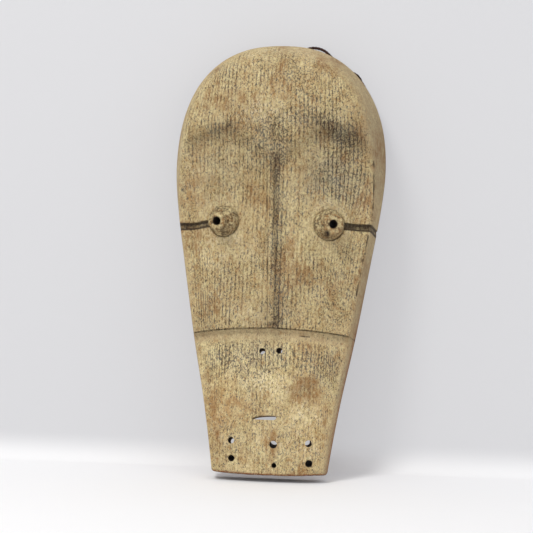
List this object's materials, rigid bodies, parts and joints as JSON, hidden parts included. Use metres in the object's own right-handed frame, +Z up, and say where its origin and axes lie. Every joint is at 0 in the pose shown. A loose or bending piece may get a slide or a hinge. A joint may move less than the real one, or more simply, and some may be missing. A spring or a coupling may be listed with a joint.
{
  "type": "carved wooden mask",
  "caption": "Tall hollow wooden face mask with a domed forehead, tube eyes, narrow nose ridge, stepped chin panel with drilled holes, and a dark hanging cord.",
  "frame": {"origin": "middle of the back rim's wall at the top of the dome, in the flat plane of the rim", "axes": "+X to the viewer's right, +Y out of the back towards the wall, +Z up along the mask's height"},
  "size_m": [0.254, 0.0945, 0.5218],
  "materials": {
    "carved_wood": "matte, chalky pigment over chiselled wood",
    "cord": "dark twisted cord"
  },
  "bodies": {
    "root": {"mask_body": "carved_wood", "eye_tube_left": "carved_wood", "eye_tube_right": "carved_wood", "hanging_cord": "cord", "cord_knot_left": "cord", "cord_knot_right": "cord", "cord_tie_knot": "cord"}
  },
  "joints": []
}
